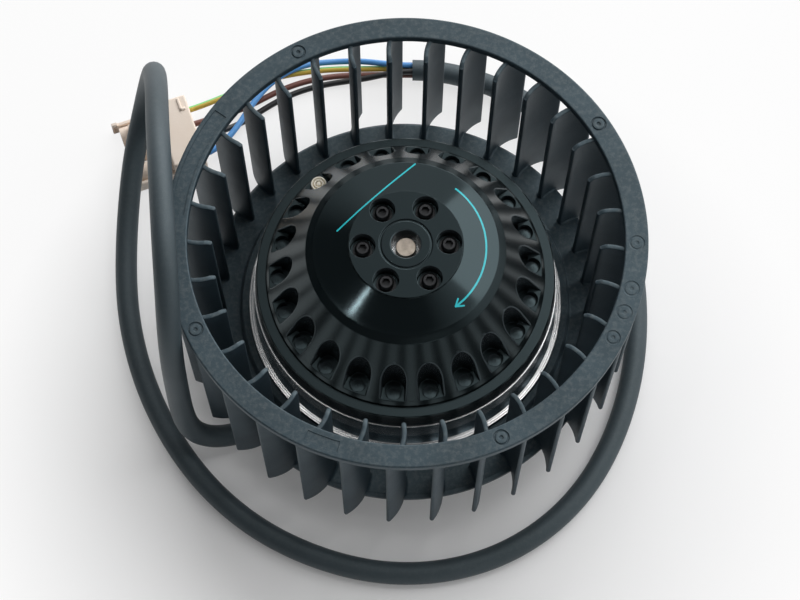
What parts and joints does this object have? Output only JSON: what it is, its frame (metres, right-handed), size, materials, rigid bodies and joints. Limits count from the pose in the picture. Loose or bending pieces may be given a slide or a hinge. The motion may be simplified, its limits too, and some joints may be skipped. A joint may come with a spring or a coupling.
{
  "type": "motorised blower wheel",
  "caption": "Forward-curved blower wheel on an external-rotor motor, standing on its mounting flange with the inlet side up, with a lead and plug.",
  "frame": {"origin": "centre of the flange's mounting face, on the motor's axis", "axes": "+Z along the motor's axis towards the inlet ring, +X to the right in the picture, +Y away from the viewer"},
  "size_m": [0.1764, 0.1806, 0.0956],
  "materials": {
    "wheel_plastic": "moulded, satin",
    "bell_gloss": "moulded, glossy black",
    "lamination": "turned sheet-steel stack",
    "cast_alloy": "die cast",
    "copper": "enamelled copper wire",
    "insulator": "moulded",
    "bearing_steel": "ground",
    "spring_steel": "blackened",
    "screw_black": "blackened",
    "weight": "pressed",
    "gland_rubber": "moulded",
    "sheath": "extruded, soft sheen",
    "wire_blue": "extruded",
    "wire_brown": "extruded",
    "wire_earth": "extruded, green with a yellow stripe",
    "wire_black": "extruded",
    "plug_plastic": "moulded",
    "sleeve_plastic": "moulded",
    "pin_brass": "plain"
  },
  "bodies": {
    "stator": {"stator_flange": "cast_alloy", "stator_core": "lamination", "end_insulators": "insulator", "stator_windings": "copper", "thermal_protector": "insulator", "bearing_outer_races": "bearing_steel", "preload_washer": "spring_steel", "bore_circlip": "spring_steel", "cable_gland": "gland_rubber", "lead_sheath": "sheath", "wire_blue": "wire_blue", "wire_brown": "wire_brown", "wire_earth": "wire_earth", "wire_black": "wire_black", "plug_housing": "plug_plastic", "plug_sleeves": "sleeve_plastic", "plug_pins": "pin_brass"},
    "rotor": {"impeller_ring": "wheel_plastic", "impeller_blades": "wheel_plastic", "impeller_dish": "wheel_plastic", "rotor_bell": "bell_gloss", "rotor_core": "lamination", "rotor_cage": "cast_alloy", "hub_flange": "lamination", "hub_screws": "screw_black", "rotor_shaft": "bearing_steel", "balance_weight": "weight", "bearing_inner_races": "bearing_steel", "bearing_balls": "bearing_steel", "shaft_circlip": "spring_steel"}
  },
  "joints": [
    {"name": "rotor_spin", "type": "hinge", "parent": "stator", "child": "rotor", "pos_m": [0, 0, 0], "axis": [0, 0, 1], "continuous": true}
  ]
}
